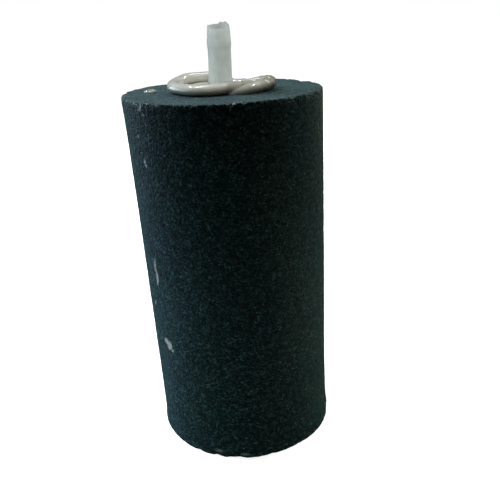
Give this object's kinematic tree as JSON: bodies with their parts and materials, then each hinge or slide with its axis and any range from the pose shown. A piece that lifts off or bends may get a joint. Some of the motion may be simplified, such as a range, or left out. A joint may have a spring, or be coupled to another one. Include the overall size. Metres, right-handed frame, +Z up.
{
  "type": "air stone",
  "caption": "Cylindrical grit air stone with a barbed hose nozzle sealed into its top, for spreading pumped air as fine bubbles in a pond or aquarium.",
  "frame": {"origin": "centre of the stone's flat base, on the surface that it stands on", "axes": "+Z up the stone's axis and out of the hose nozzle; the long direction of the oval sealant bead lies along X, its higher side towards +Y"},
  "size_m": [0.05, 0.05, 0.112],
  "materials": {
    "bonded_grit": "coarse sintered grit, blue-black, unglazed",
    "nozzle_plastic": "milky, slightly translucent, satin",
    "cured_adhesive": "cured clear-beige adhesive",
    "sealant": "glossy off-white, hand laid"
  },
  "bodies": {
    "root": {"stone_body": "bonded_grit", "inlet_nozzle": "nozzle_plastic", "adhesive_fill": "cured_adhesive", "sealant_bead": "sealant", "sealant_drip": "sealant"}
  },
  "joints": []
}
